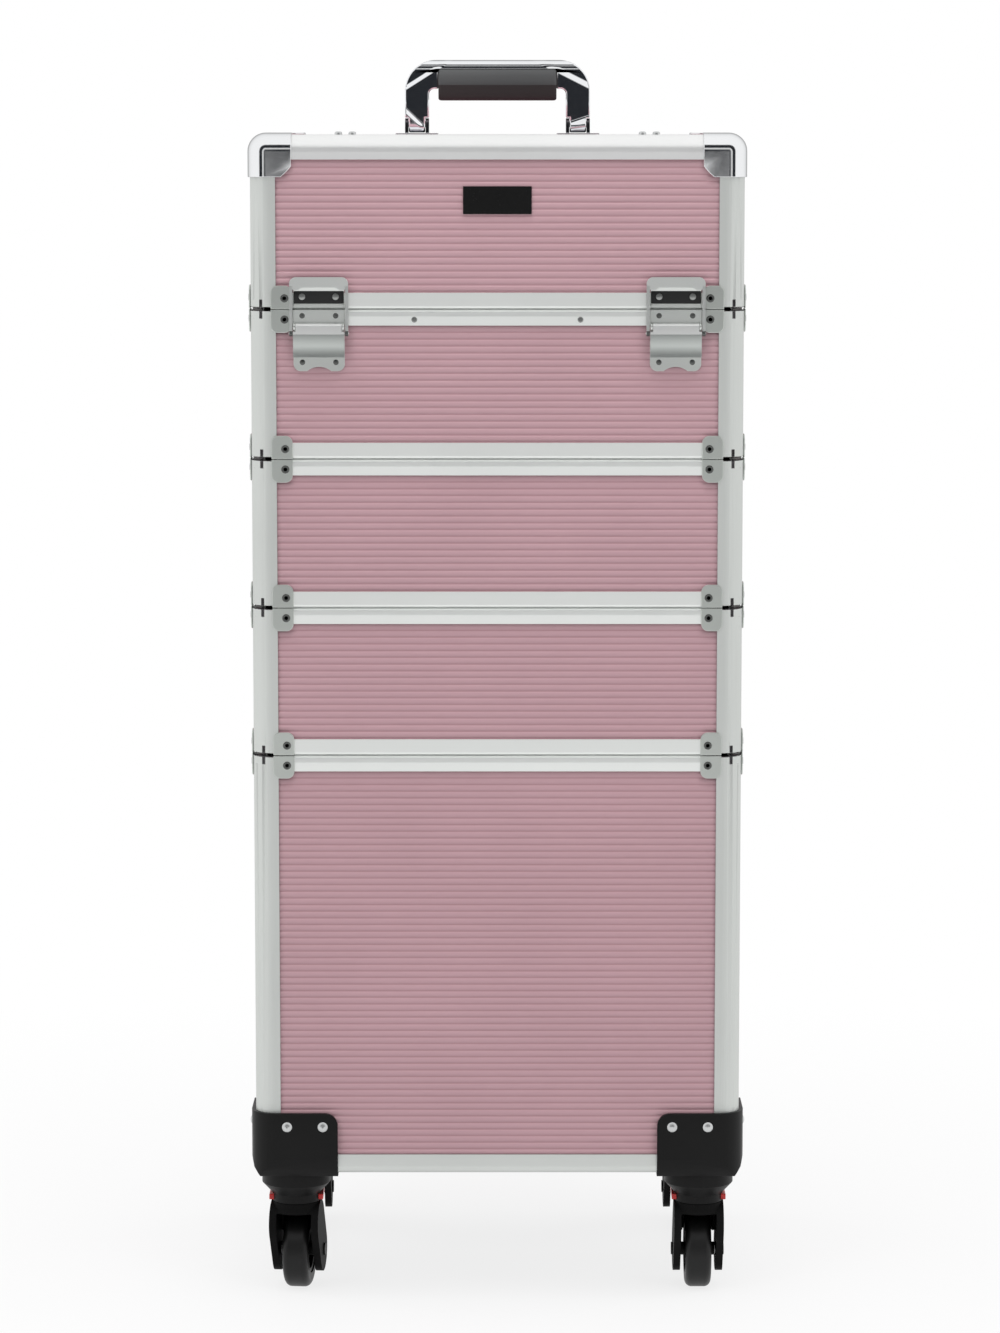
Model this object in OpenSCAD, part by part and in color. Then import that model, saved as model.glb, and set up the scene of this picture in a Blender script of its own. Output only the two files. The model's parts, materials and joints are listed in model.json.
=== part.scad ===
// Rolling makeup case: four stacked tiers and a hinged lid on swivel casters
// Millimetres, +Z up, front towards -Y, origin on the floor under the middle of the case

/* [Case] */
// Outer width of the aluminium frame
case_w = 340; // [300:5:420]
// Outer depth of the aluminium frame
case_d = 240; // [200:5:300]
// Height of the lid
lid_h = 119; // [100:1:150]
// Height of each of the three boxes
box_h = 103; // [90:1:140]
// Height of the bottom bin
bin_h = 297; // [220:1:380]
// Height of the frame above the floor
body_clear = 91; // [88:1:110]
// Gap at each seam between two tiers
seam_gap = 0.4; // [0.3:0.1:0.8]

/* [Aluminium profiles] */
// Width of a corner post on each face
post_leg = 18; // [17:0.5:22]
// Outer radius of a corner post
post_r = 16; // [10:0.5:17]
// Depth of every profile from the outer face
profile_depth = 7.5; // [7:0.25:9]
// Thickness of the profile walls
skin = 1.5; // [1:0.1:2]
// Height of a rim rail
rim_h = 11; // [10:0.5:14]
// Radius along the outer edge of a rim rail
rim_r = 2.1; // [0.5:0.1:2.5]
// Height of the rails round the lid's top
top_rail_h = 17; // [15:0.5:22]
// Radius of the lid's top edges
top_r = 12; // [8:0.5:13]
// Height of the rails round the bin's bottom
base_rail_h = 14; // [12:0.5:18]
// Radius of the bin's bottom edges
base_r = 6; // [3:0.5:7]
// Height of the tongue that locates the next tier
tongue_h = 4; // [2:0.5:6]
// Thickness of the tongue
tongue_t = 1.2; // [0.8:0.1:2]
// Sideways clearance of the tongue
tongue_gap = 0.5; // [0.3:0.1:1]
// Distance of a post's end from the middle of the seam
post_end = 1.5; // [0.2:0.1:2.5]
// Height of the corner slit at each post end
slit_h = 5; // [3:0.5:10]
// Width of the corner slit
slit_w = 2.2; // [0.8:0.1:2.6]
// Distance of the slit from the outer face
slit_inset = 7.6; // [6:0.1:9]

/* [Boards] */
// Thickness of the wall, floor and top boards
board_t = 4; // [3:0.25:5]
// Clearance of a board in its slot
board_fit = 0.25; // [0.1:0.05:0.4]

/* [Seam clips] */
// Width of a seam clip
clip_w = 14.6; // [10:0.2:18]
// Height of a seam clip
clip_h = 16; // [12:0.5:20]
// Thickness of a seam clip
clip_t = 1.2; // [0.8:0.1:2]
// Distance of a seam clip from the outer side
clip_inset = 14.5; // [12:0.5:20]
// Radius of a seam clip's corners
clip_r = 5; // [2:0.5:6]

/* [Corner caps] */
// Reach of a corner cap along each edge
cap_reach = 29; // [24:0.5:36]
// Thickness of a corner cap
cap_t = 1.2; // [0.8:0.1:2]

/* [Badge plate] */
// Width of the plate
badge_w = 47; // [30:1:60]
// Height of the plate
badge_h = 19; // [10:1:26]
// Thickness of the plate
badge_t = 1.2; // [0.8:0.1:2]
// Depth of its middle below the lid's top
badge_drop = 44.7; // [35:0.1:60]

/* [Carry handle] */
// Overall width of the handle
handle_w = 131; // [110:1:170]
// Height of the handle above the lid
handle_h = 52.3; // [46:0.1:70]
// Width of each leg
handle_leg = 17; // [13:0.5:20]
// Front to back depth of the bail
handle_t = 12; // [10:0.5:14]
// Radius of the bail's outer corners
handle_r = 22; // [12:1:26]
// Thickness of the bar above the grip
handle_bar = 7; // [4:0.2:8]
// Thickness of the bail at its inner corners
handle_shoulder = 20.2; // [14:0.1:22]
// Height of the handle pins above the lid
handle_pin_h = 7.3; // [7:0.1:9]
// Radius of the handle pins
handle_pin_r = 2; // [1.5:0.1:2.5]
// Thickness of the ears beside the foot of each leg
handle_ear = 2.4; // [2:0.1:3]
// Length of the grip
grip_l = 83.5; // [60:0.5:90]
// Thickness of the grip
grip_t = 21.4; // [16:0.1:22]
// Width of each handle mount
mount_w = 30; // [24:1:36]
// Depth of each handle mount
mount_d = 24; // [18:1:30]
// Height of the mount plate above the lid's top edge
mount_rise = 0.9; // [0.5:0.1:1]

/* [Front latches] */
// Distance of each latch's middle from the frame's side
latch_inset = 47.6; // [47.5:0.1:80]
// Width of the base plate and lever
latch_w = 35.2; // [30:0.2:35.4]
// Thickness of the latch sheet
latch_t = 1.2; // [0.8:0.1:1.4]
// Distance of the lever pin below the seam
lever_drop = 12; // [11:0.5:16]
// Radius of the lever's rolled barrel
barrel_r = 2.5; // [2.2:0.1:2.8]
// Radius of the lever pin
lever_pin_r = 1; // [0.8:0.1:1.2]
// Length of the lever below its pin
lever_l = 18; // [15:0.5:24]
// Depth of the base plate below the seam
latch_base_h = 42.5; // [38:0.5:54]
// Height of the bail above the seam
bail_rise = 22; // [20:0.5:28]
// Height of the bail's top bar
bail_bar = 7; // [5:0.5:9]
// Width of each bail arm
bail_arm = 2.2; // [1.6:0.1:3]
// Radius of the bail pins on the lever
bail_pin_r = 0.7; // [0.6:0.05:0.8]
// Width of the keeper
keeper_w = 34.8; // [24:0.2:35]

/* [Side latches] */
// Width of a side latch
hasp_w = 24; // [18:1:32]
// Thickness of the side latch sheet
hasp_t = 1; // [0.8:0.1:1.2]
// Distance of the hasp's pin below the seam
hasp_drop = 6.5; // [6:0.1:7]
// Height of the hasp above the seam
hasp_rise = 12; // [11:0.5:18]
// Radius of the hasp's barrel
hasp_barrel_r = 1.9; // [1.7:0.1:2.2]
// Radius of the hasp's pin
hasp_pin_r = 0.8; // [0.6:0.1:1]

/* [Back hinges] */
// Distance of each hinge's middle from the frame's side
hinge_inset = 75; // [60:1:90]
// Width of each hinge
hinge_w = 50; // [36:1:60]
// Thickness of the hinge leaves
hinge_t = 1.3; // [1:0.1:1.6]
// Radius of the hinge barrel
hinge_r = 2.5; // [2.2:0.1:2.8]
// Radius of the hinge pin
hinge_pin_r = 1.2; // [1:0.1:1.4]
// Half width of the middle knuckle
knuckle_half = 8; // [6:0.5:12]

/* [Casters] */
// Distance of each swivel axis from the outer faces
caster_inset = 27.5; // [26.5:0.5:32]
// Thickness of the corner housing
house_t = 3; // [2.5:0.1:4]
// Reach of the housing along each face
house_reach = 58; // [54:1:70]
// Height of the housing above the frame's bottom
house_h = 43.7; // [38:0.1:55]
// Radius of the housing's upper corners
house_r = 9; // [5:0.5:14]
// Thickness of the housing under the frame
house_floor = 2.4; // [2:0.1:4]
// Radius of the round socket
socket_r = 24.2; // [22:0.1:25]
// Radius of the socket's neck
neck_r = 16.8; // [16:0.1:18]
// Radius of the swivel stem
stem_r = 5; // [4:0.1:6]
// Radius of the wheel
wheel_r = 27; // [24:0.5:28]
// Width of the tyre
tyre_w = 18.4; // [16:0.2:20]
// Distance of the axle behind the swivel axis
trail = 14; // [8:0.5:18]
// Overall width of the fork
fork_w = 35; // [34:0.5:40]
// Thickness of the fork's legs
fork_leg = 5; // [4:0.25:6]
// Radius of the axle
axle_r = 2.5; // [2:0.1:3]
// Turn of the front left caster
front_left_turn = -6; // [-40:1:40]
// Radius of the housing rivets
rivet_r = 3.5; // [2.5:0.1:4.5]

/* [Hidden] */
$fn = 64;
running = 0.05;
clear = 0.3;
seat = 0.05;

slot_w = board_t + 2 * board_fit;
recess = skin + board_fit;
board_inner = recess + board_t;
rail_gap = 0.1;

bin_z = body_clear;
box3_z = bin_z + bin_h;
box2_z = box3_z + box_h;
box1_z = box2_z + box_h;
lid_z = box1_z + box_h;
lid_top = lid_z + lid_h;

clip_out = seat + clip_t;
latch_x = case_w / 2 - latch_inset;
latch_out = seat + latch_t;
lever_out = latch_out + barrel_r + clear;
bail_in = clip_out + 0.35;
bail_t = 2.2;
bail_x = latch_w / 2 + 0.4;
bail_bar_t = 1.2;
bail_bar_out = 2.4;
ear_t = 1.3;
ear_gap = 0.3;
ear_x = latch_w / 2 - ear_t - 0.2;
ear_r = barrel_r + 0.1;
cheek_top = lever_drop + ear_r + 0.6;
bail_pin_out = bail_in + bail_t / 2;
bail_pin_drop = cheek_top + 1.2;

hasp_out = hasp_barrel_r + 0.4;
hasp_knuckle = 5;
hasp_face = 2.6;
hasp_plate_half = 9;

hinge_x = case_w / 2 - hinge_inset;
hinge_out = hinge_r + 0.4;

house_z = bin_z - house_floor;
socket_step = 8.6;
socket_z = house_z - socket_step;
neck_z = socket_z - 8;
neck_bottom = neck_z - 5.5;
fork_top = neck_bottom - 0.4;
crown_r = 16;
axle_end_r = 15.5;
arch_z = fork_top - 7.6;
wheel_room = wheel_r + 2.5;
hub_half = fork_w / 2 - fork_leg - clear;
hub_r = wheel_r - 10;
stem_top = house_z - 2;
slot_x = 15.2;
slot_front = -6;
release_z = neck_bottom + 0.8;
release_h = 4;
release_reach = 2.3;

aluminium = [0.80, 0.82, 0.80];
pink = [0.73, 0.57, 0.60];
nickel = [0.70, 0.72, 0.70];
chrome = [0.85, 0.86, 0.88];
black = [0.11, 0.11, 0.11];
red = [0.85, 0.12, 0.10];

// Placing helpers

// Half of the frame's size towards side i: 0 front, 1 right, 2 back, 3 left
function half(i) = (i % 2 == 0 ? case_d : case_w) / 2;

// Length of a rail between the posts on side i
function rail_l(i) = 2 * half(i + 1) - 2 * (post_leg + rail_gap);

// Where the board slots start in a corner profile of radius r
function slot_start(r) = max(0.75 * r, profile_depth);

// Children drawn for the front face are turned to side i, at height z
module on_side(i, z) {
    rotate([0, 0, 90 * i])
        translate([0, -half(i), z])
            children();
}

// A profile with x inwards and y upwards becomes a bar of length l
module bar(l) {
    rotate([90, 0, 90])
        translate([0, 0, -l / 2])
            linear_extrude(l)
                children();
}

// Children drawn with x and y inwards from a corner of the frame
module at_corner(sx, sy) {
    translate([sx * case_w / 2, sy * case_d / 2, 0])
        mirror([sx > 0 ? 1 : 0, 0, 0])
            mirror([0, sy > 0 ? 1 : 0, 0])
                children();
}

module at_corners() {
    for (sx = [-1, 1], sy = [-1, 1])
        at_corner(sx, sy)
            children();
}

// Limits of a stretch by its middle and its half length
function span(mid, h) = [mid - h, mid + h];

// Cylinder along X, centred
module rod(r, l) {
    rotate([0, 90, 0])
        cylinder(h = l, r = r, center = true);
}

// Box given by its limits
module block(x, y, z) {
    translate([x[0], y[0], z[0]])
        cube([x[1] - x[0], y[1] - y[0], z[1] - z[0]]);
}

// Flat outlines

// Square from o to reach with one round corner at o
module quadrant(o, r, reach) {
    translate([o + r, o])
        square([reach - o - r, reach - o]);
    translate([o, o + r])
        square([reach - o, reach - o - r]);
    translate([o + r, o + r])
        circle(r);
}

// Tab with two round corners at its far end
module tab(w, h, r) {
    translate([-w / 2, 0])
        square([w, h - r]);
    translate([-w / 2 + r, 0])
        square([w - 2 * r, h]);
    for (s = [-1, 1])
        translate([s * (w / 2 - r), h - r])
            circle(r);
}

// Two circles joined by their outer tangents
module link(p1, r1, p2, r2) {
    along = atan2(p2[1] - p1[1], p2[0] - p1[0]);
    spread = acos((r1 - r2) / norm(p2 - p1));
    function rim(p, r, s) = p + r * [cos(along + s * spread), sin(along + s * spread)];
    translate(p1)
        circle(r1);
    translate(p2)
        circle(r2);
    polygon([rim(p1, r1, 1), rim(p2, r2, 1), rim(p2, r2, -1), rim(p1, r1, -1)]);
}

// Upright slot shape between heights y0 and y1, round at both ends
module stadium(r, y0, y1) {
    translate([-r, y0 + r])
        square([2 * r, y1 - y0 - 2 * r]);
    for (y = [y0 + r, y1 - r])
        translate([0, y])
            circle(r);
}

// Corner extrusion that holds two boards in its slots
module corner_profile(leg, r) {
    difference() {
        intersection() {
            union() {
                square([leg, profile_depth]);
                square([profile_depth, leg]);
            }
            quadrant(0, r, leg);
        }
        translate([slot_start(r), skin])
            square([leg, slot_w]);
        translate([skin, slot_start(r)])
            square([slot_w, leg]);
    }
}

// Rim extrusion, its rim at y = 0
module rim_profile() {
    difference() {
        union() {
            translate([rim_r, 0])
                square([profile_depth - rim_r, rim_h]);
            translate([0, rim_r])
                square([profile_depth, rim_h - rim_r]);
            translate([rim_r, rim_r])
                circle(rim_r);
        }
        translate([skin, skin])
            square([slot_w, rim_h]);
    }
}

// Rim extrusion with the tongue that enters the next tier
module tongue_profile() {
    rim_profile();
    translate([profile_depth - seat, skin])
        square([tongue_gap + tongue_t + seat, rim_h / 2]);
    translate([profile_depth + tongue_gap, -tongue_h])
        square([tongue_t, tongue_h + rim_h / 2]);
}

// Frame of a tier

module posts(z0, z1, slit_low, slit_high) {
    color(aluminium)
        at_corners()
            difference() {
                translate([0, 0, z0])
                    linear_extrude(z1 - z0)
                        corner_profile(post_leg, post_r);
                for (end = [if (slit_low) z0, if (slit_high) z1 - slit_h]) {
                    block([slit_inset - slit_w / 2, slit_inset + slit_w / 2], [-1, profile_depth - skin],
                        [end - seat, end + slit_h + seat]);
                    block([-1, profile_depth - skin], [slit_inset - slit_w / 2, slit_inset + slit_w / 2],
                        [end - seat, end + slit_h + seat]);
                }
            }
}

module lower_rim(z0) {
    for (i = [0:3])
        on_side(i, z0)
            bar(rail_l(i))
                rim_profile();
}

module upper_rim(z1) {
    for (i = [0:3])
        on_side(i, z1)
            bar(rail_l(i))
                mirror([0, 1])
                    tongue_profile();
}

module edge_rails(z, leg, r, upside_down) {
    for (i = [0:3])
        on_side(i, z)
            bar(rail_l(i))
                mirror([0, upside_down ? 1 : 0])
                    corner_profile(leg, r);
}

// Four wall boards between heights z0 and z1
module walls(z0, z1) {
    for (i = [0:3])
        on_side(i, 0)
            block(span(0, half(i + 1) - slot_start(post_r) - board_fit), [recess, board_inner], [z0, z1]);
}

// Floor board of a box, notched round the posts
module box_floor(z) {
    edge = board_inner + board_fit;
    translate([0, 0, z])
        linear_extrude(board_t)
            difference() {
                square([case_w - 2 * edge, case_d - 2 * edge], center = true);
                for (sx = [-1, 1], sy = [-1, 1])
                    translate([sx * case_w / 2, sy * case_d / 2])
                        square(2 * (post_leg + clear), center = true);
            }
}

// Board held in the slots of the edge rails
module flat_board(z, r) {
    edge = slot_start(r) + board_fit;
    translate([0, 0, z])
        linear_extrude(board_t)
            square([case_w - 2 * edge, case_d - 2 * edge], center = true);
}

// Seam clips at height z, standing up (dir 1) or hanging down (dir -1)
module clips(z, dir) {
    color(nickel)
        for (i = [0:3], s = [-1, 1])
            on_side(i, z)
                translate([s * (half(i + 1) - clip_inset - clip_w / 2), -seat, 0])
                    rotate([90, 0, 0])
                        mirror([0, dir < 0 ? 1 : 0])
                            linear_extrude(clip_t)
                                tab(clip_w, clip_h, clip_r);
}

// Box tiers

module box_boards(z) {
    color(pink) {
        walls(z + seam_gap / 2 + skin + board_fit, z + box_h - seam_gap / 2 - skin - board_fit);
        box_floor(z + seam_gap / 2 + rim_h);
    }
}

module box_posts(z) {
    posts(z + post_end, z + box_h - post_end, true, true);
}

module box_rails(z) {
    color(aluminium) {
        lower_rim(z + seam_gap / 2);
        upper_rim(z + box_h - seam_gap / 2);
    }
}

module box_clips(z) {
    clips(z + seam_gap / 2, 1);
    clips(z + box_h - seam_gap / 2, -1);
}

// Bin

module bin_boards() {
    color(pink) {
        walls(bin_z + slot_start(base_r) + board_fit, box3_z - seam_gap / 2 - skin - board_fit);
        flat_board(bin_z + recess, base_r);
    }
}

module bin_posts() {
    posts(bin_z + base_r, box3_z - post_end, false, true);
}

module bin_rails() {
    color(aluminium) {
        edge_rails(bin_z, base_rail_h, base_r, false);
        upper_rim(box3_z - seam_gap / 2);
    }
}

module bin_clips() {
    clips(box3_z - seam_gap / 2, -1);
}

// Lid

module lid_boards() {
    color(pink) {
        walls(lid_z + seam_gap / 2 + skin + board_fit, lid_top - slot_start(top_r) - board_fit);
        flat_board(lid_top - board_inner, top_r);
    }
}

module lid_posts() {
    posts(lid_z + post_end, lid_top - top_r - clear, true, false);
}

module lid_top_rails() {
    color(aluminium)
        edge_rails(lid_top, top_rail_h, top_r, true);
}

module lid_rim_rails() {
    color(aluminium)
        lower_rim(lid_z + seam_gap / 2);
}

module lid_clips() {
    clips(lid_z + seam_gap / 2, 1);
}

// Solid with three faces, three round edges and one round corner at o
module round_corner(o, r, reach) {
    c = o + r;
    block([c, reach], [c, reach], [o, reach]);
    block([c, reach], [o, reach], [c, reach]);
    block([o, reach], [c, reach], [c, reach]);
    translate([c, c, c]) {
        sphere(r);
        cylinder(h = reach - c, r = r);
        rotate([0, 90, 0])
            cylinder(h = reach - c, r = r);
        rotate([-90, 0, 0])
            cylinder(h = reach - c, r = r);
    }
}

module lid_corner_caps() {
    inner_r = top_r - 0.5;
    color(chrome)
        at_corners()
            translate([0, 0, lid_top])
                mirror([0, 0, 1])
                    intersection() {
                        difference() {
                            round_corner(-seat - cap_t, inner_r + cap_t, cap_reach);
                            round_corner(-seat, inner_r, cap_reach + 1);
                        }
                        sphere(1.25 * cap_reach);
                    }
}

module badge_plate() {
    color(black)
        block([-badge_w / 2, badge_w / 2], [recess - badge_t, recess] - [1, 1] * case_d / 2,
            span(lid_top - badge_drop, badge_h / 2));
}

// Carry handle

module at_handle() {
    translate([0, 0, lid_top])
        children();
}

// Middle of each handle leg
leg_x = (handle_w - handle_leg) / 2;

// Radius of the ears round the handle pins
ear_top_r = handle_pin_r + 2;

module handle_mounts() {
    at_handle()
        for (s = [-1, 1])
            translate([s * leg_x, 0, 0]) {
                color(chrome)
                    difference() {
                        union() {
                            block([-mount_w / 2, mount_w / 2], [-mount_d / 2, mount_d / 2], [-recess, mount_rise]);
                            for (e = [-1, 1])
                                translate([e * (handle_leg - handle_ear) / 2, 0, 0])
                                    bar(handle_ear)
                                        link([0, 0], handle_t / 2, [0, handle_pin_h], ear_top_r);
                        }
                        block([-mount_w / 2, mount_w / 2], [-mount_d / 2, mount_d / 2], [-recess - handle_t, -recess]);
                        translate([0, 0, handle_pin_h])
                            rod(handle_pin_r + running, handle_leg);
                    }
                color(nickel)
                    translate([0, 0, handle_pin_h])
                        rod(handle_pin_r, handle_leg - 1);
            }
}

// Front view of the bail, y upwards from the lid's top
module bail_front() {
    inner_half = handle_w / 2 - handle_leg;
    opening_top = handle_h - handle_shoulder;
    fillet = 4;
    difference() {
        tab(handle_w, handle_h, handle_r);
        translate([-inner_half, -1])
            square([2 * inner_half, opening_top - fillet + 1]);
        translate([-inner_half + fillet, 0])
            square([2 * inner_half - 2 * fillet, opening_top]);
        for (s = [-1, 1])
            translate([s * (inner_half - fillet), opening_top - fillet])
                circle(fillet);
        translate([-grip_l / 2 - rail_gap, 0])
            square([grip_l + 2 * rail_gap, handle_h - handle_bar]);
    }
}

module handle_bail() {
    foot = handle_leg / 2 - handle_ear - clear;
    notch_h = ear_top_r + clear;
    color(chrome)
        at_handle()
            difference() {
                intersection() {
                    rotate([90, 0, 0])
                        translate([0, 0, -handle_t / 2])
                            linear_extrude(handle_t)
                                bail_front();
                    bar(handle_w)
                        stadium(handle_t / 2, handle_pin_h - handle_t / 2, handle_h);
                }
                for (s = [-1, 1])
                    translate([s * leg_x, 0, handle_pin_h]) {
                        rod(handle_pin_r + running, handle_leg + 1);
                        for (e = [-1, 1])
                            block(span(e * (foot + handle_ear), handle_ear), [-handle_t, handle_t],
                                [-handle_t, notch_h]);
                    }
            }
}

module handle_grip() {
    round_r = grip_t / 2 - 1;
    grip_top = handle_h - handle_bar - rail_gap;
    color(black)
        at_handle()
            bar(grip_l)
                translate([0, grip_top - grip_t / 2])
                    for (sx = [-1, 1], sy = [-1, 1])
                        translate([sx, sy])
                            circle(round_r);
}

// Front latches, drawn at the seam on the frame's front face

module at_latch(s) {
    translate([s * latch_x, -case_d / 2, lid_z])
        children();
}

// Lower end of the base plate with its scalloped edge
module latch_foot() {
    lobe = 5;
    difference() {
        mirror([0, 1])
            tab(latch_w, latch_base_h, lobe);
        translate([0, -latch_base_h - 2 * lobe])
            circle(lobe + 8);
        translate([-latch_w, -rim_h - seam_gap])
            square([2 * latch_w, latch_base_h]);
    }
}

module front_latch_bases() {
    low = rim_h + seam_gap;
    color(nickel)
        for (s = [-1, 1])
            at_latch(s) {
                difference() {
                    union() {
                        bar(latch_w)
                            polygon([
                                [-latch_out, -seam_gap], [-seat, -seam_gap], [-seat, -low],
                                [recess - seat, -low - recess], [recess - latch_out, -low - recess - latch_t],
                                [-latch_out, -low - latch_t]
                            ]);
                        translate([0, recess - seat, 0])
                            rotate([90, 0, 0])
                                linear_extrude(latch_t)
                                    latch_foot();
                        for (e = [-1, 1])
                            translate([e * (ear_x + ear_t / 2), 0, 0])
                                bar(ear_t) {
                                    translate([-lever_out, -lever_drop])
                                        circle(ear_r);
                                    translate([-lever_out, -lever_drop - ear_r])
                                        square([lever_out - seat, 2 * ear_r]);
                                }
                    }
                    translate([0, -lever_out, -lever_drop])
                        rod(lever_pin_r + running, latch_w + 1);
                    block([-latch_w, latch_w], [0, profile_depth], [-low, 0]);
                }
                translate([0, -lever_out, -lever_drop])
                    rod(lever_pin_r, latch_w);
            }
}

// Side view of the lever plate, with a finger lip at its end
module lever_side() {
    bow = [[0, 0], [0.3, 0.35], [0, 0.65], [-1.3, 0.88], [-0.3, 1]];
    face = -lever_out - barrel_r;
    outer = [for (p = bow) [face - p[0], -lever_drop - p[1] * lever_l]];
    inner = [for (k = [len(bow) - 1:-1:0]) outer[k] + [latch_t, 0]];
    polygon(concat(outer, inner));
}

module latch_lever(s) {
    barrel_half = ear_x - ear_gap;
    cheek_h = 6;
    cheek_back = bail_pin_out - bail_pin_r - 0.3;
    color(nickel)
        at_latch(s)
            difference() {
                union() {
                    translate([0, -lever_out, -lever_drop])
                        rod(barrel_r, 2 * barrel_half);
                    difference() {
                        bar(latch_w)
                            lever_side();
                        for (e = [-1, 1])
                            block(span(e * (barrel_half + latch_w / 2), latch_w / 2),
                                [-3 * lever_out, 0], [-cheek_top, 0]);
                    }
                    for (e = [-1, 1]) {
                        block(span(e * (latch_w - latch_t) / 2, latch_t / 2),
                            [-lever_out - barrel_r + latch_t / 2, -cheek_back], [-cheek_top - cheek_h, -cheek_top]);
                        translate([e * (bail_x + bail_arm / 2 - seat), -bail_pin_out, -bail_pin_drop])
                            rod(bail_pin_r, bail_arm + 1);
                    }
                }
                translate([0, -lever_out, -lever_drop])
                    rod(lever_pin_r + running, latch_w);
            }
}

module latch_bail(s) {
    bar_low = bail_rise - bail_bar;
    arm_r = bail_t / 2 + 0.9;
    color(nickel)
        at_latch(s)
            difference() {
                union() {
                    translate([0, -bail_bar_out, bar_low])
                        rotate([90, 0, 0])
                            linear_extrude(bail_bar_t)
                                tab(2 * (bail_x + bail_arm), bail_bar, 4.5);
                    for (e = [-1, 1])
                        translate([e * (bail_x + bail_arm / 2), 0, 0])
                            bar(bail_arm) {
                                translate([-bail_in - bail_t, -bail_pin_drop])
                                    square([bail_t, bail_pin_drop + bar_low + 1]);
                                translate([-bail_pin_out, -bail_pin_drop])
                                    circle(arm_r);
                            }
                }
                translate([0, -bail_pin_out, -bail_pin_drop])
                    rod(bail_pin_r + running, 3 * latch_w);
                block([-latch_w, latch_w], [-bail_in, 0], [-2 * bail_pin_drop, 0]);
            }
}

module front_latch_keepers() {
    lip = bail_bar_out - 0.35;
    bar_low = bail_rise - bail_bar;
    color(nickel)
        for (s = [-1, 1])
            at_latch(s)
                bar(keeper_w)
                    polygon([
                        [-seat, 1.2], [-seat, bar_low], [-latch_out, bar_low + 3.5], [-lip, bar_low + 3.5],
                        [-lip, bar_low - 1], [-latch_out, bar_low - 2.5], [-latch_out, 4],
                        [-lip, 3.6], [-lip, 1.2]
                    ]);
}

// Side latches, drawn at a seam on the front face and turned to a side

module at_hasp(s, z) {
    on_side(s > 0 ? 1 : 3, z)
        children();
}

module hasp_bases(z) {
    color(nickel)
        for (s = [-1, 1])
            at_hasp(s, z) {
                difference() {
                    union() {
                        block([-hasp_w / 2, hasp_w / 2], [-seat - hasp_t, -seat], [-rim_h, -2 * seam_gap]);
                        translate([0, -hasp_out, -hasp_drop])
                            rod(hasp_barrel_r, 2 * hasp_knuckle);
                    }
                    for (e = [-1, 1])
                        translate([e * (hasp_knuckle + clear / 2 + hasp_w / 2), -hasp_out, -hasp_drop])
                            rod(hasp_barrel_r + clear, hasp_w);
                    translate([0, -hasp_out, -hasp_drop])
                        rod(hasp_pin_r + running, hasp_w);
                }
                translate([0, -hasp_out, -hasp_drop])
                    rod(hasp_pin_r, hasp_w - 1);
            }
}

module hasp_keepers(z) {
    color(nickel)
        for (s = [-1, 1])
            at_hasp(s, z)
                bar(2 * hasp_plate_half)
                    polygon([
                        [-seat, 2 * seam_gap], [-seat, rim_h], [-seat - hasp_t, rim_h], [-seat - hasp_t, rim_h - 1],
                        [-hasp_face + 0.4, rim_h - 2], [-hasp_face + 0.4, rim_h - 4],
                        [-seat - hasp_t, rim_h - 5], [-seat - hasp_t, 2 * seam_gap]
                    ]);
}

module hasp(s, z) {
    lip = 1.6;
    color(nickel)
        at_hasp(s, z)
            difference() {
                union() {
                    bar(hasp_w - 1)
                        polygon([
                            [-hasp_face, -hasp_drop], [-hasp_face, hasp_rise], [-hasp_face - hasp_t - lip, hasp_rise],
                            [-hasp_face - hasp_t - lip, hasp_rise - hasp_t / 2],
                            [-hasp_face - hasp_t, hasp_rise - 2 * hasp_t], [-hasp_face - hasp_t, -hasp_drop]
                        ]);
                    translate([0, -hasp_out, -hasp_drop])
                        rod(hasp_barrel_r, hasp_w - 1);
                }
                translate([0, -hasp_out, -hasp_drop]) {
                    rod(hasp_barrel_r + clear, 2 * hasp_knuckle + clear);
                    rod(hasp_pin_r + running, hasp_w);
                }
            }
}

module box_latch_plates(z) {
    hasp_keepers(z);
    hasp_bases(z + box_h);
}

// Back hinges, drawn on the back face at the lid's seam

module at_hinges() {
    for (s = [-1, 1])
        translate([s * hinge_x, case_d / 2, lid_z])
            children();
}

// Leaf that stands up (dir 1) with the middle knuckle or hangs down (dir -1) with the outer two
module hinge_leaf(dir) {
    side_l = hinge_w / 2 - knuckle_half;
    leaf = [2 * seam_gap, rim_h - seam_gap];
    difference() {
        union() {
            block([-hinge_w / 2, hinge_w / 2], [seat, seat + hinge_t], dir > 0 ? leaf : [-leaf[1], -leaf[0]]);
            translate([0, hinge_out, 0])
                rod(hinge_r, hinge_w);
        }
        translate([0, hinge_out, 0]) {
            rod(hinge_pin_r + running, hinge_w + 1);
            if (dir > 0)
                for (e = [-1, 1])
                    translate([e * (knuckle_half + side_l), 0, 0])
                        rod(hinge_r + clear, 2 * side_l + clear);
            else
                rod(hinge_r + clear, 2 * knuckle_half + clear);
        }
    }
}

module hinge_leaves_upper() {
    color(nickel)
        at_hinges()
            hinge_leaf(1);
}

module hinge_leaves_lower() {
    color(nickel)
        at_hinges()
            hinge_leaf(-1);
}

module hinge_pins() {
    color(nickel)
        at_hinges()
            translate([0, hinge_out, 0])
                rod(hinge_pin_r, hinge_w);
}

// Casters

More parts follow.
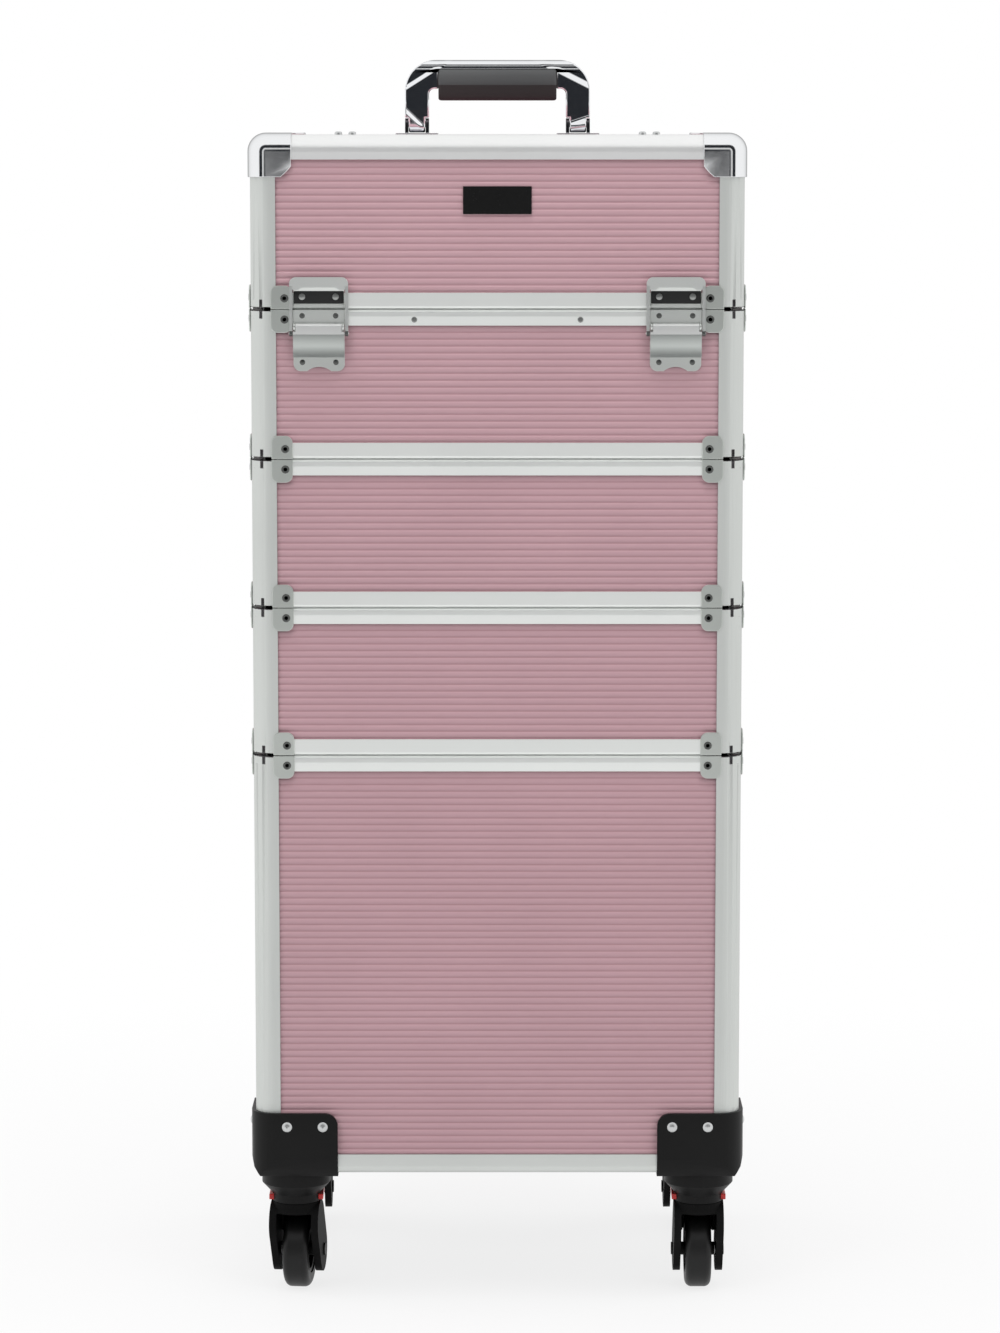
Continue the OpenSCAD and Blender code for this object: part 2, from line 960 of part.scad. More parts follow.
// Frame corner that the housing fits round
module frame_corner() {
    far = house_reach + 5 * house_t;
    low = bin_z - rail_gap;
    round_z = bin_z + base_r;
    floor_edge = profile_depth + board_fit - clear;
    block([floor_edge, far], [floor_edge, far], [low, round_z + 1]);
    translate([0, 0, round_z])
        linear_extrude(bin_h)
            quadrant(-rail_gap, post_r + rail_gap, far);
    translate([0, 0, low])
        linear_extrude(base_r + 1)
            quadrant(base_r, post_r - base_r, far);
    translate([base_r, post_leg, round_z])
        rotate([-90, 0, 0])
            cylinder(h = far, r = base_r + rail_gap);
    translate([post_leg, base_r, round_z])
        rotate([0, 90, 0])
            cylinder(h = far, r = base_r + rail_gap);
}

// Cut that slopes the housing's lower outer edge, along local Y
module slope_cut() {
    far = 2 * house_reach;
    slope_in = 6.3;
    slope_h = 13.4;
    bend_in = 1.8;
    bend_h = 6;
    rotate([90, 0, 0])
        translate([0, 0, -far / 2])
            linear_extrude(far)
                polygon([
                    [-house_t - 1, house_z - 1], [-house_t + slope_in, house_z - 1], [-house_t + slope_in, house_z],
                    [-house_t + bend_in, house_z + bend_h], [-house_t, house_z + slope_h],
                    [-house_t - 1, house_z + slope_h]
                ]);
}

// Cut that rounds the housing's upper far corner, along local Y
module far_corner_cut() {
    translate([house_reach - house_r, 0, bin_z + house_h - house_r])
        rotate([90, 0, 0])
            translate([0, 0, -house_r])
                linear_extrude(2 * house_r)
                    difference() {
                        square(house_r + 1);
                        circle(house_r);
                    }
}

// Both cuts again across the diagonal of the corner
module both_ways() {
    children();
    mirror([1, -1, 0])
        children();
}

module caster_housings() {
    color(black)
        at_corners()
            difference() {
                union() {
                    difference() {
                        translate([0, 0, house_z])
                            linear_extrude(house_h + house_floor)
                                quadrant(-house_t, post_r + house_t, house_reach);
                        frame_corner();
                        both_ways() {
                            slope_cut();
                            far_corner_cut();
                        }
                    }
                    translate([caster_inset, caster_inset, 0]) {
                        translate([0, 0, socket_z])
                            cylinder(h = house_z - socket_z + seat, r = socket_r);
                        translate([0, 0, neck_z])
                            cylinder(h = socket_z - neck_z, r1 = neck_r, r2 = socket_r);
                        translate([0, 0, neck_bottom])
                            cylinder(h = neck_z - neck_bottom, r = neck_r);
                    }
                }
                translate([caster_inset, caster_inset, 0]) {
                    translate([0, 0, neck_bottom - 1])
                        cylinder(h = stem_top + clear - neck_bottom + 1, r = stem_r + running);
                    for (e = [-1, 1])
                        block(span(e * (slot_x + neck_r / 2), neck_r / 2), [slot_front, 2 * neck_r],
                            [release_z - 0.2, release_z + release_h + 0.2]);
                }
            }
}

// Two rivets on each outer face of a housing
module housing_rivets() {
    near = 22.5;
    far = 47.5;
    height = 34.2;
    head = 1.4;
    dome_r = (rivet_r * rivet_r + head * head) / (2 * head);
    color(nickel)
        at_corners()
            both_ways()
                for (u = [near, far])
                    translate([u, -house_t - seat, bin_z + height])
                        rotate([90, 0, 0])
                            intersection() {
                                cylinder(h = head + 1, r = rivet_r);
                                translate([0, 0, head - dome_r])
                                    sphere(dome_r);
                            }
}

module at_caster(sx, sy, turn) {
    translate([sx * (case_w / 2 - caster_inset), sy * (case_d / 2 - caster_inset), 0])
        rotate([0, 0, turn])
            children();
}

// Hooded fork with its stem, and the axle through it
module caster_fork() {
    crown_z = fork_top - crown_r;
    inner_w = fork_w - 2 * fork_leg;
    head_t = 1.2;
    axle_head_r = axle_r + 2;
    color(black)
        difference() {
            union() {
                bar(fork_w)
                    link([0, crown_z], crown_r, [trail, wheel_r], axle_end_r);
                translate([0, 0, crown_z])
                    cylinder(h = crown_r, r = neck_r);
                translate([0, 0, fork_top - 1])
                    cylinder(h = stem_top - fork_top + 1, r = stem_r);
            }
            translate([0, trail, wheel_r]) {
                rod(wheel_room, inner_w);
                rod(axle_r + running, fork_w + 1);
                block([-inner_w / 2, inner_w / 2], [-wheel_room, wheel_room], [-wheel_r, 0]);
            }
            block([-inner_w / 2, inner_w / 2], [-2 * crown_r, trail], [0, arch_z]);
        }
    color(chrome)
        translate([0, trail, wheel_r]) {
            rod(axle_r, fork_w + 2 * seat + 2 * head_t);
            for (e = [-1, 1])
                translate([e * (fork_w / 2 + seat + head_t / 2), 0, 0])
                    rod(axle_head_r, head_t);
        }
}

// Half section of the tyre, x outwards from the axle
module tyre_section() {
    soft = 4.8;
    inner = hub_r + 2 * running;
    translate([inner, -tyre_w / 2])
        square([wheel_r - inner - soft, tyre_w]);
    translate([inner, -tyre_w / 2 + soft])
        square([wheel_r - inner, tyre_w - 2 * soft]);
    for (s = [-1, 1])
        translate([wheel_r - soft, s * (tyre_w / 2 - soft)])
            circle(soft);
}

// Half section of the hub with its boss, web and rim
module hub_section() {
    bore = axle_r + running;
    boss = axle_r + 2.2;
    web = tyre_w / 2 - 4;
    rim = tyre_w / 2 - 1;
    rim_in = hub_r - 3;
    polygon([
        [bore, -hub_half], [boss, -hub_half], [boss, -web], [rim_in, -web], [rim_in, -rim], [hub_r, -rim],
        [hub_r, rim], [rim_in, rim], [rim_in, web], [boss, web], [boss, hub_half], [bore, hub_half]
    ]);
}

module caster_wheel() {
    translate([0, trail, wheel_r])
        rotate([0, 90, 0]) {
            color(black)
                rotate_extrude()
                    tyre_section();
            color(nickel)
                rotate_extrude()
                    hub_section();
        }
}

// Horseshoe clip in the slots of the socket's neck
module release_clip() {
    outer = neck_r + release_reach;
    back = neck_r + 1;
    color(red)
        translate([0, 0, release_z])
            linear_extrude(release_h)
                difference() {
                    translate([-outer, slot_front + clear])
                        square([2 * outer, back + release_reach - slot_front - clear]);
                    translate([-slot_x - 0.2, -2 * slot_x])
                        square([2 * slot_x + 0.4, 2 * slot_x + back]);
                }
}

module at_release(sx, sy) {
    at_caster(sx, sy, 0)
        mirror([0, sy > 0 ? 1 : 0, 0])
            children();
}

bin_boards();
bin_posts();
bin_rails();
bin_clips();
hasp_bases(box3_z);  // bin_latch_bases
caster_housings();
housing_rivets();
box_boards(box3_z);  // box3_boards
box_posts(box3_z);  // box3_posts
box_rails(box3_z);  // box3_rails
box_clips(box3_z);  // box3_clips
box_latch_plates(box3_z);  // box3_latch_plates
box_boards(box2_z);  // box2_boards
box_posts(box2_z);  // box2_posts
box_rails(box2_z);  // box2_rails
box_clips(box2_z);  // box2_clips
box_latch_plates(box2_z);  // box2_latch_plates
box_boards(box1_z);  // box1_boards
box_posts(box1_z);  // box1_posts
box_rails(box1_z);  // box1_rails
box_clips(box1_z);  // box1_clips
hasp_keepers(box1_z);  // box1_latch_keepers
front_latch_bases();
hinge_leaves_lower();
hinge_pins();
lid_boards();
lid_posts();
lid_top_rails();
lid_rim_rails();
lid_clips();
lid_corner_caps();
badge_plate();
front_latch_keepers();
hinge_leaves_upper();
handle_mounts();
handle_bail();
handle_grip();
latch_lever(-1);  // latch_lever_left
latch_lever(1);  // latch_lever_right
latch_bail(-1);  // latch_bail_left
latch_bail(1);  // latch_bail_right
hasp(-1, box3_z);  // bin_hasp_left
hasp(1, box3_z);  // bin_hasp_right
hasp(-1, box2_z);  // box3_hasp_left
hasp(1, box2_z);  // box3_hasp_right
hasp(-1, box1_z);  // box2_hasp_left
hasp(1, box1_z);  // box2_hasp_right
at_caster(-1, -1, front_left_turn) caster_fork();  // fork_front_left
at_caster(1, -1, 0) caster_fork();  // fork_front_right
at_caster(-1, 1, 0) caster_fork();  // fork_rear_left
at_caster(1, 1, 0) caster_fork();  // fork_rear_right
at_caster(-1, -1, front_left_turn) caster_wheel();  // wheel_front_left
at_caster(1, -1, 0) caster_wheel();  // wheel_front_right
at_caster(-1, 1, 0) caster_wheel();  // wheel_rear_left
at_caster(1, 1, 0) caster_wheel();  // wheel_rear_right
at_release(-1, -1) release_clip();  // release_front_left
at_release(1, -1) release_clip();  // release_front_right
at_release(-1, 1) release_clip();  // release_rear_left
at_release(1, 1) release_clip();  // release_rear_right
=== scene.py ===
"""Looks of the rolling makeup case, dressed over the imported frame. Metres, +Z up, front towards -Y."""

import json
import math

import bmesh
import bpy
from mathutils import Matrix, Vector

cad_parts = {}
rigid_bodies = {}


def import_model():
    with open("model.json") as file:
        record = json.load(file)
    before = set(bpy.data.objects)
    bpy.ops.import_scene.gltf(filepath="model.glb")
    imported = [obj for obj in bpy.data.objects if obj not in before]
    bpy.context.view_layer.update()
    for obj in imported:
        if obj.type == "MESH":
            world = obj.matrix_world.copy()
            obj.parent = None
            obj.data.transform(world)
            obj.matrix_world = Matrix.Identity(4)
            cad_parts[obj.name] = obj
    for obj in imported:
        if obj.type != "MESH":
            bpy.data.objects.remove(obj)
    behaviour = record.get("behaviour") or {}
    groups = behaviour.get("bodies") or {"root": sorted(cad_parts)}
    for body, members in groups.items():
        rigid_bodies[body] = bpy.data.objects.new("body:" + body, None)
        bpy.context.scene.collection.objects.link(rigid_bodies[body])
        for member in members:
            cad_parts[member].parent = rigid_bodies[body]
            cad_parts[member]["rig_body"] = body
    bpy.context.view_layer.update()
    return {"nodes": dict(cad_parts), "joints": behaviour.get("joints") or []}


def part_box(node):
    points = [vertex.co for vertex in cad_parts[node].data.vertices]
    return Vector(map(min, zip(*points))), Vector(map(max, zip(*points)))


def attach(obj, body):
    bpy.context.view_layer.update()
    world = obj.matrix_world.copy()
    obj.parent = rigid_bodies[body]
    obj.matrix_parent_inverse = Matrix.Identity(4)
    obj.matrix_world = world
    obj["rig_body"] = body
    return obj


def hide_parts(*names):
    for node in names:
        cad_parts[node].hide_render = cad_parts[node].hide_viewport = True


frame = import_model()
nodes = frame["nodes"]
scene = bpy.context.scene
MM = 0.001

# Sizes shared with the solids
CASE_W, CASE_D = 0.340, 0.240
FRONT, BACK = -CASE_D / 2, CASE_D / 2
BASE_Z = 91.0 * MM
BIN_H = 297.0 * MM
TIER_H = 103.0 * MM
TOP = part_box("lid_top_rails")[1].z
RECESS = 1.75 * MM
BOARD = 4.0 * MM
POST_REACH = 18.3 * MM
POST_R = 16.0 * MM
POST_END = 1.5 * MM
SLIT_H = 5.0 * MM
SLIT_NEAR, SLIT_FAR = 6.5 * MM, 8.7 * MM
LATCH_X = 122.4 * MM

# Tiers from the floor up, the seam under each and the seam above each
TIERS = ("bin", "box3", "box2", "box1", "lid")
SEAMS = {tier: BASE_Z + BIN_H + k * TIER_H for k, tier in enumerate(TIERS[1:])}
SEAM_ABOVE = {tier: SEAMS[upper] for tier, upper in zip(TIERS, TIERS[1:])}
LID_SEAM = SEAMS["lid"]

FORWARD, BACKWARD, UP = Vector((0, -1, 0)), Vector((0, 1, 0)), Vector((0, 0, 1))


# Shader helpers

def new_material(name):
    mat = bpy.data.materials.new(name)
    mat.use_nodes = True
    tree = mat.node_tree
    return mat, tree, tree.nodes["Principled BSDF"]


def node(tree, kind, **values):
    made = tree.nodes.new(kind)
    for key, value in values.items():
        if key in made.inputs:
            made.inputs[key].default_value = value
        else:
            setattr(made, key, value)
    return made


def math_node(tree, kind, *values):
    """Math on values that are sockets or plain numbers."""
    made = node(tree, "ShaderNodeMath", operation=kind)
    for socket, value in zip(made.inputs, values):
        if isinstance(value, bpy.types.NodeSocket):
            tree.links.new(value, socket)
        else:
            socket.default_value = value
    return made.outputs[0]


def map_range(tree, value, source, target, **settings):
    """The value moved from the range source to the range target."""
    made = node(tree, "ShaderNodeMapRange", **settings)
    for key, number in zip(("From Min", "From Max", "To Min", "To Max"), (*source, *target)):
        made.inputs[key].default_value = number
    tree.links.new(value, made.inputs["Value"])
    return made.outputs["Result"]


def mixed(tree, share, first, second):
    made = node(tree, "ShaderNodeMixShader")
    for socket, value in zip(made.inputs, (share, first, second)):
        tree.links.new(value, socket)
    return made.outputs["Shader"]


def coordinates(tree, kind="Object"):
    return node(tree, "ShaderNodeTexCoord").outputs[kind]


def axes(tree, kind="Object"):
    """X, Y and Z of a coordinate, each a socket of its own."""
    made = node(tree, "ShaderNodeSeparateXYZ")
    tree.links.new(coordinates(tree, kind), made.inputs[0])
    return made.outputs


def stretched(tree, scale):
    """Object coordinates, stretched per axis."""
    mapping = node(tree, "ShaderNodeMapping")
    mapping.inputs["Scale"].default_value = scale
    tree.links.new(coordinates(tree), mapping.inputs["Vector"])
    return mapping.outputs["Vector"]


def noise(tree, vector, scale, detail=3.0):
    made = node(tree, "ShaderNodeTexNoise", Scale=scale, Detail=detail)
    tree.links.new(vector, made.inputs["Vector"])
    return made.outputs["Fac"]


def ramp(tree, fac, stops):
    made = node(tree, "ShaderNodeValToRGB")
    while len(made.color_ramp.elements) < len(stops):
        made.color_ramp.elements.new(0.5)
    for element, (place, colour) in zip(made.color_ramp.elements, stops):
        element.position = place
        element.color = (*colour, 1.0)
    tree.links.new(fac, made.inputs["Fac"])
    return made.outputs["Color"]


def bump(tree, bsdf, height, strength, distance):
    """Bump on the shader, laid over any bump that it has."""
    made = node(tree, "ShaderNodeBump", Strength=strength, Distance=distance)
    tree.links.new(height, made.inputs["Height"])
    for link in bsdf.inputs["Normal"].links:
        tree.links.new(link.from_socket, made.inputs["Normal"])
    tree.links.new(made.outputs["Normal"], bsdf.inputs["Normal"])


# Materials

UPRIGHT_GRAIN = (1, 1, 0.02)
LEVEL_GRAIN = (0.04, 0.04, 1)
CLOUD_SCALE, CLOUD_DETAIL = 9.0, 2.0
CLOUD_LOW, CLOUD_HIGH = 0.3, 0.7
CHROME_COLOUR = (0.86, 0.87, 0.89)


def shade(colour, k):
    return tuple(min(1.0, c * k) for c in colour)


def surface(name, colour, rough, scale, vary, bump_strength, metallic=0.0, grain=(1, 1, 1),
            rough_vary=0.06, bump_mm=0.05, specular=0.5, rim=1.0):
    """Plain finish with the fine grain, tint change and uneven gloss of a real one."""
    mat, tree, bsdf = new_material(name)
    fine = noise(tree, stretched(tree, grain), scale)
    broad = noise(tree, stretched(tree, (1, 1, 1)), CLOUD_SCALE, CLOUD_DETAIL)
    tint = ramp(tree, broad, [(CLOUD_LOW, shade(colour, 1 - vary)), (CLOUD_HIGH, shade(colour, 1 + vary))])
    gloss = map_range(tree, fine, (0.0, 1.0), (rough - rough_vary, rough + rough_vary))
    tree.links.new(tint, bsdf.inputs["Base Color"])
    tree.links.new(gloss, bsdf.inputs["Roughness"])
    bump(tree, bsdf, fine, bump_strength, bump_mm * MM)
    bsdf.inputs["Metallic"].default_value = metallic
    bsdf.inputs["Specular IOR Level"].default_value = specular
    bsdf.inputs["Specular Tint"].default_value = (rim, rim, rim, 1.0)
    return mat


def aluminium(name, colour, rough, grain):
    return surface(name, colour, rough, scale=1800, vary=0.02, bump_strength=0.05, metallic=1.0,
                   grain=grain, rim=0.7)


def nickel(name, colour, rough, vary, bump_strength=0.08):
    return surface(name, colour, rough, scale=1200, vary=vary, bump_strength=bump_strength, metallic=1.0)


def chrome(name, colour, rough, vary=0.03, rough_vary=0.03, bump_strength=0.03):
    return surface(name, colour, rough, scale=300, vary=vary, bump_strength=bump_strength, metallic=1.0,
                   rough_vary=rough_vary, rim=0.35)


PINK = surface("pink_laminate", (0.490, 0.303, 0.333), 0.42, scale=900, vary=0.025, bump_strength=0.06)
# Darker pink for the faces deep in the ribs' grooves: painted shade in the grooves
PAINTED_GROOVE_SHADE = surface("pink_groove_painted_shade", (0.420, 0.242, 0.268), 0.50, scale=900, vary=0.03, bump_strength=0.06)
LINING = surface("black_lining", (0.030, 0.030, 0.032), 0.85, scale=1400, vary=0.15, bump_strength=0.5,
                 bump_mm=0.2)
POST = aluminium("satin_aluminium_upright", (0.73, 0.75, 0.73), 0.64, UPRIGHT_GRAIN)
RAIL = aluminium("satin_aluminium_level", (0.95, 0.97, 0.95), 0.52, LEVEL_GRAIN)
# Lighter aluminium for the lid's top rails: a painted highlight from the light above
PAINTED_HIGHLIGHT_TOP_RAIL = aluminium("satin_aluminium_top_painted_highlight", (0.985, 0.995, 0.985), 0.52, LEVEL_GRAIN)
BASE_RAIL = aluminium("satin_aluminium_base", (0.70, 0.72, 0.70), 0.50, LEVEL_GRAIN)
STEEL = nickel("nickel_sheet", (0.72, 0.745, 0.72), 0.40, vary=0.06)
CLIP = nickel("nickel_clip", (0.585, 0.615, 0.585), 0.40, vary=0.08, bump_strength=0.1)
BAIL = nickel("nickel_bail", (0.80, 0.82, 0.80), 0.42, vary=0.05)
LEVER = nickel("nickel_lever", (0.58, 0.61, 0.59), 0.38, vary=0.06)
# Lighter nickel for the levers' curled barrels: a painted highlight
PAINTED_BARREL_HIGHLIGHT = nickel("nickel_barrel_painted_highlight", (0.90, 0.91, 0.90), 0.50, vary=0.04)
RIVET = nickel("rivet_steel", (0.135, 0.14, 0.135), 0.38, vary=0.1, bump_strength=0.1)
KEEPER_RIVET = nickel("keeper_rivet", (0.36, 0.37, 0.36), 0.30, vary=0.1, bump_strength=0.1)
BRIGHT_RIVET = nickel("bright_rivet", (0.62, 0.63, 0.63), 0.36, vary=0.08, bump_strength=0.1)
CHROME = chrome("chrome", CHROME_COLOUR, 0.08)
BAIL_CHROME = chrome("chrome_bail", CHROME_COLOUR, 0.08)
CAP = chrome("chromed_cap", (0.84, 0.85, 0.86), 0.22, rough_vary=0.04, bump_strength=0.04)
CAP_EDGE = chrome("chromed_cap_edge", (0.86, 0.87, 0.88), 0.10)
MOUNT = chrome("dark_chrome_ear", (0.16, 0.165, 0.175), 0.16, vary=0.05, rough_vary=0.04)
BLACK = surface("black_moulding", (0.006, 0.006, 0.006), 0.45, scale=1500, vary=0.2, bump_strength=0.25,
                specular=0.16)
TYRE = surface("tyre_rubber", (0.007, 0.007, 0.007), 0.42, scale=1100, vary=0.25, bump_strength=0.3,
               bump_mm=0.1, specular=0.3)
FORK = surface("fork_moulding", (0.006, 0.006, 0.006), 0.55, scale=1500, vary=0.2, bump_strength=0.25,
               specular=0.05)
HUB = surface("hub_moulding", (0.010, 0.010, 0.010), 0.45, scale=1100, vary=0.2, bump_strength=0.2,
              specular=0.2)
GRIP = surface("grip_moulding", (0.050, 0.052, 0.053), 0.46, scale=1300, vary=0.15, bump_strength=0.3)
# Darker, warmer black for the grip's lower half: painted shade under the grip
GRIP_SHADED_UNDERSIDE = surface("grip_underside_painted_shade", (0.024, 0.021, 0.021), 0.52, scale=1300, vary=0.15, bump_strength=0.3,
                   specular=0.35)
# Dark grey for the inner faces of the posts and their slits: painted shade
POST_INSIDE_SHADE = surface("aluminium_inside_painted_shade", (0.16, 0.155, 0.16), 0.70, scale=1200, vary=0.1, bump_strength=0.1,
                 specular=0.2)
RED = surface("red_moulding", (0.55, 0.020, 0.018), 0.35, scale=1200, vary=0.08, bump_strength=0.1)
BADGE = surface("badge_enamel", (0.006, 0.006, 0.006), 0.25, scale=700, vary=0.2, bump_strength=0.03,
                specular=0.25)
# Near-black sheet for the latch windows: painted shade
PAINTED_SHADE_PLATE = surface("painted_shade_plate", (0.018, 0.018, 0.018), 0.50, scale=900, vary=0.2, bump_strength=0.1,
                    specular=0.2)


def rolled_profile(mat, stops):
    """Shallow relief of a rolled strip, alike at every tier: stops are (share of a tier's height, mm)."""
    tree = mat.node_tree
    tiers = map_range(tree, axes(tree)["Z"], (LID_SEAM, LID_SEAM + TIER_H), (0.0, 1.0), clamp=False)
    height = ramp(tree, math_node(tree, "FRACT", tiers), [(at, (h, h, h)) for at, h in stops])
    bump(tree, tree.nodes["Principled BSDF"], height, 1.0, MM)


def swells(mat, bands):
    """Gentle swells of a polished or rolled face, each a smooth rise along a direction in the x, z plane.

    A band is (x part, z part, start, end, rise), the last three in millimetres."""
    tree = mat.node_tree
    place = axes(tree)
    total = 0.0
    for across, up, low, high, rise in bands:
        sideways = math_node(tree, "MULTIPLY", place["X"], across)
        along = math_node(tree, "MULTIPLY_ADD", place["Z"], up, sideways)
        slope = map_range(tree, along, (low * MM, high * MM), (0.0, rise), interpolation_type="SMOOTHSTEP")
        total = math_node(tree, "ADD", slope, total)
    bump(tree, tree.nodes["Principled BSDF"], total, 1.0, MM)


# Bands of the handle: left leg, left corner, right corner, top bar and right leg
swells(BAIL_CHROME, [(0.684, 0.730, 561.2, 565.6, -1.6),
                     (-0.533, 0.846, 750.8, 754.4, 0.34),
                     (0.447, 0.894, 786.6, 791.6, 0.45),
                     (0.0, 1.0, 861.0, 868.6, 0.72),
                     (-0.30, 0.954, 765.0, 772.5, -2.6)])
swells(PAINTED_HIGHLIGHT_TOP_RAIL, [(0.0, 1.0, 807.0, 816.0, -1.5)])
rolled_profile(RAIL, [(0.0, 0.35), (0.020, 0.20), (0.108, 0.20), (0.890, 0.20), (0.950, 0.70), (0.955, 0.70),
                      (1.0, 0.35)])


# Mesh helpers

MERGE_GAP = 0.001 * MM
FLAT_ANGLE = math.radians(1.0)
EASE_ANGLE = math.radians(40)
TURNED_SIDES = 20


def make_object(name, mesh, mats, body):
    obj = bpy.data.objects.new(name, mesh)
    scene.collection.objects.link(obj)
    for mat in mats:
        mesh.materials.append(mat)
    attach(obj, body)
    return obj


def mesh_of(name, verts, faces):
    mesh = bpy.data.meshes.new(name)
    mesh.from_pydata(verts, [], faces)
    return mesh


def face_outwards(mesh):
    bm = bmesh.new()
    bm.from_mesh(mesh)
    bmesh.ops.recalc_face_normals(bm, faces=bm.faces)
    bm.to_mesh(mesh)
    bm.free()


def smooth(obj, degrees=35):
    obj.data.shade_smooth()
    obj.data.set_sharp_from_angle(angle=math.radians(degrees))


def ease_edges(obj, width_mm, segments):
    mod = obj.modifiers.new("ease", "BEVEL")
    mod.width = width_mm * MM
    mod.segments = segments
    mod.limit_method = "ANGLE"
    mod.angle_limit = EASE_ANGLE


def dressed(name, mat, bevel_mm, extra=None, pick=None, cut=None, stretch=None):
    """A node with its sharp edges eased, as a pressed, drawn or moulded piece has them.

    Faces that pick accepts take the extra material; cut is a height where the faces are split first,
    and stretch gives a point's new height."""
    source = nodes[name]
    bm = bmesh.new()
    bm.from_mesh(source.data)
    bmesh.ops.remove_doubles(bm, verts=bm.verts, dist=MERGE_GAP)
    bmesh.ops.dissolve_limit(bm, angle_limit=FLAT_ANGLE, verts=bm.verts, edges=bm.edges)
    if cut:
        everything = bm.verts[:] + bm.edges[:] + bm.faces[:]
        bmesh.ops.bisect_plane(bm, geom=everything, plane_co=(0, 0, cut), plane_no=(0, 0, 1))
    if stretch:
        for vert in bm.verts:
            vert.co.z = stretch(vert.co.z)
    for face in bm.faces:
        face.material_index = 1 if pick and pick(face.calc_center_median()) else 0
    mesh = bpy.data.meshes.new(name + "_eased")
    bm.to_mesh(mesh)
    bm.free()
    obj = make_object(name + "_eased", mesh, [mat] + ([extra] if extra else []), source["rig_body"])
    if bevel_mm:
        ease_edges(obj, bevel_mm, 3)
    smooth(obj)
    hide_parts(name)


def tube_faces(rings, count, start=0):
    """Faces round a row of equal rings of points, with a cap at each end."""
    faces = []
    for ring in range(rings - 1):
        for k in range(count):
            a = start + ring * count + k
            b = start + ring * count + (k + 1) % count
            faces.append((a, b, b + count, a + count))
    last = start + (rings - 1) * count
    faces.append(tuple(range(last, last + count)))
    faces.append(tuple(reversed(range(start, start + count))))
    return faces


def lathe(verts, faces, origin, normal, profile):
    """Turned piece on a face: profile is (radius, height) pairs in mm, from the rim to the middle."""
    turn = UP.rotation_difference(normal).to_matrix()
    faces += tube_faces(len(profile), TURNED_SIDES, len(verts))
    for radius, height in profile:
        for k in range(TURNED_SIDES):
            a = 2 * math.pi * k / TURNED_SIDES
            local = Vector((radius * MM * math.cos(a), radius * MM * math.sin(a), height * MM))
            verts.append(origin + turn @ local)


def turned_group(name, places, profile, mat, body):
    """The same turned piece at several places, each a point and the direction out of its face."""
    verts, faces = [], []
    for origin, normal in places:
        lathe(verts, faces, origin, normal, profile)
    obj = make_object(name, mesh_of(name, verts, faces), [mat], body)
    smooth(obj, degrees=50)


def joined(name, sheets, mats, body):
    """One piece of several meshes, each with its points, its faces and the material number of each face."""
    verts, faces, kinds = [], [], []
    for v, f, k in sheets:
        shift = len(verts)
        verts += v
        faces += [tuple(i + shift for i in face) for face in f]
        kinds += k
    mesh = mesh_of(name, verts, faces)
    obj = make_object(name, mesh, mats, body)
    mesh.polygons.foreach_set("material_index", kinds)
    face_outwards(mesh)
    smooth(obj, degrees=28)
    return obj


def case_sides():
    """Distance of each side's face from the middle, half of its width, and the turn to it from the front."""
    for side in range(4):
        across, along = (CASE_D, CASE_W) if side % 2 == 0 else (CASE_W, CASE_D)
        yield across / 2, along / 2, Matrix.Rotation(math.radians(90 * side), 3, "Z")


# Boards with fine level ribs

BOARD_MATS = [PINK, PAINTED_GROOVE_SHADE, LINING]
ON_RIB, IN_GROOVE, LINED = range(3)
GROOVE_FROM = 0.3 * MM
WALL_INSET = 12.25 * MM
WALL_END = 1.95 * MM
BASE_INSET = 7.75 * MM
TOP_INSET = 9.25 * MM
TOP_HALF_D = CASE_D / 2 - TOP_INSET
FLOOR_UP = 11.2 * MM
FLOOR_INSET = 6.0 * MM

# One rib in millimetres: its pitch, and the depth and place of each point
PITCH = 4.7
RIB = [(0.36, 0.0), (0.36, 1.0), (0.10, 1.4), (0.0, 2.2), (0.0, 3.4), (0.10, 4.3)]


def ribbed(length):
    """Depth and place of each rib point along a board, in metres."""
    points = []
    count = int(length / (PITCH * MM)) + 1
    for k in range(count):
        for depth, place in RIB:
            at = (k * PITCH + place) * MM
            if at < length:
                points.append((depth * MM, at))
    points.append((points[-1][0], length))
    return points


def board_mesh(half_w, points, place):
    """Ribbed sheet on a board: place(u, depth, along) gives the point in the part's frame."""
    verts, faces, kinds = [], [], []
    for depth, along in points:
        verts.append(place(-half_w, depth, along))
        verts.append(place(half_w, depth, along))
    for k in range(len(points) - 1):
        a = 2 * k
        faces.append((a, a + 1, a + 3, a + 2))
        # Faces deep in a groove take the darker pink, a painted shade
        kinds.append(IN_GROOVE if min(points[k][0], points[k + 1][0]) > GROOVE_FROM else ON_RIB)
    base = len(verts)
    for along in (points[0][1], points[-1][1]):
        verts.append(place(-half_w, BOARD, along))
        verts.append(place(half_w, BOARD, along))
    last = base - 2
    faces.append((base, base + 2, base + 3, base + 1))
    faces.append((0, base, base + 1, 1))
    faces.append((last, last + 1, base + 3, base + 2))
    faces.append(tuple(range(0, base, 2)) + (base + 2, base))
    faces.append(tuple(reversed(range(1, base, 2))) + (base + 1, base + 3))
    kinds += [LINED] + [ON_RIB] * 4
    return verts, faces, kinds


def wall_sheet(out, half_w, turn, z0, z1):
    def place(u, depth, along):
        return turn @ Vector((u, -out + RECESS + depth, z0 + along))

    return board_mesh(half_w - WALL_INSET, ribbed(z1 - z0), place)


def wall_sheets(z0, z1):
    """Ribbed sheets of a tier's four walls, between two heights."""
    return [wall_sheet(*side, z0, z1) for side in case_sides()]


def top_place(u, depth, along):
    return Vector((u, along - TOP_HALF_D, TOP - RECESS - depth))


